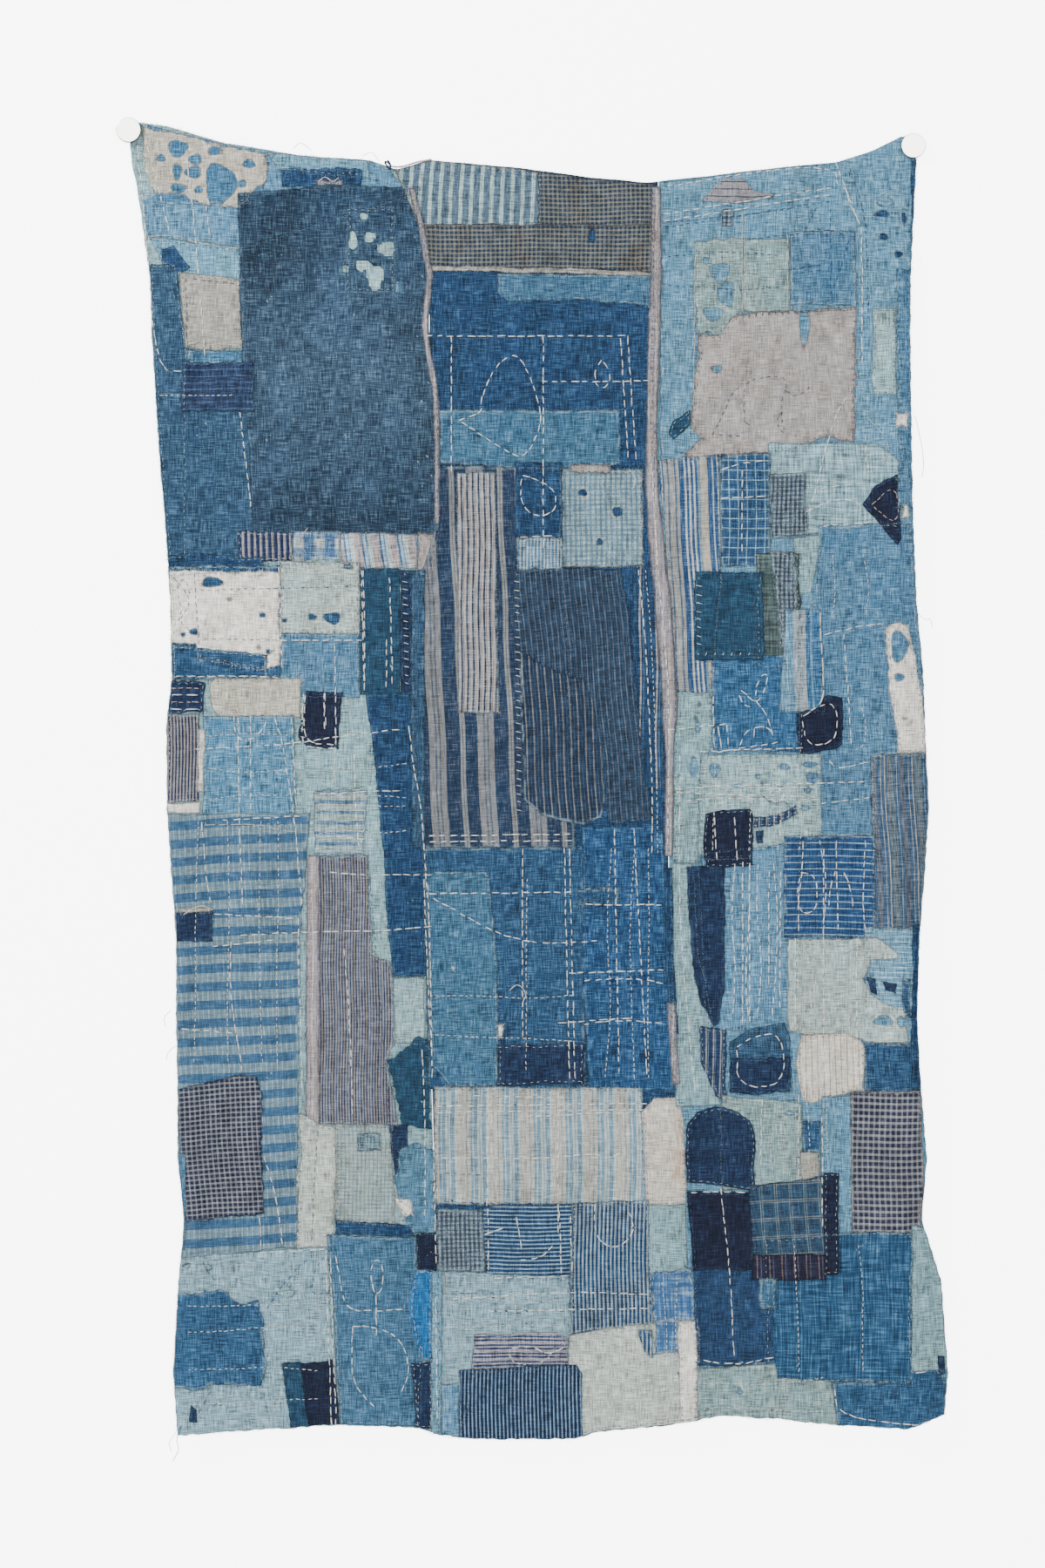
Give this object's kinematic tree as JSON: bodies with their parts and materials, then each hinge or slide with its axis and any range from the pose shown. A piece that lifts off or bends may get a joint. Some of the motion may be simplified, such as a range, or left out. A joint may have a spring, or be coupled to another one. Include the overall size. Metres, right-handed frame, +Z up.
{
  "type": "boro patched cloth with two disc magnets",
  "caption": "Patched and stitched indigo cotton cloth of sewn loom widths, hung flat against a wall by round disc magnets at its top corners.",
  "frame": {"origin": "on the wall plane, midway between the two discs' centres, along the cloth's top edge", "axes": "+Z up, the cloth's front faces -Y, +X to the right seen from the front, the wall is the plane y = 0"},
  "size_m": [1.0764, 0.0216, 1.7112],
  "materials": {
    "left_cloth": "soft worn indigo cotton, matt",
    "centre_cloth": "soft worn deep indigo cotton, matt",
    "right_cloth": "soft worn pale indigo cotton, matt",
    "disc_metal": "satin nickel plating"
  },
  "bodies": {
    "root": {"panel_left": "left_cloth", "panel_centre": "centre_cloth", "panel_right": "right_cloth", "disc_left": "disc_metal", "disc_right": "disc_metal"}
  },
  "joints": []
}
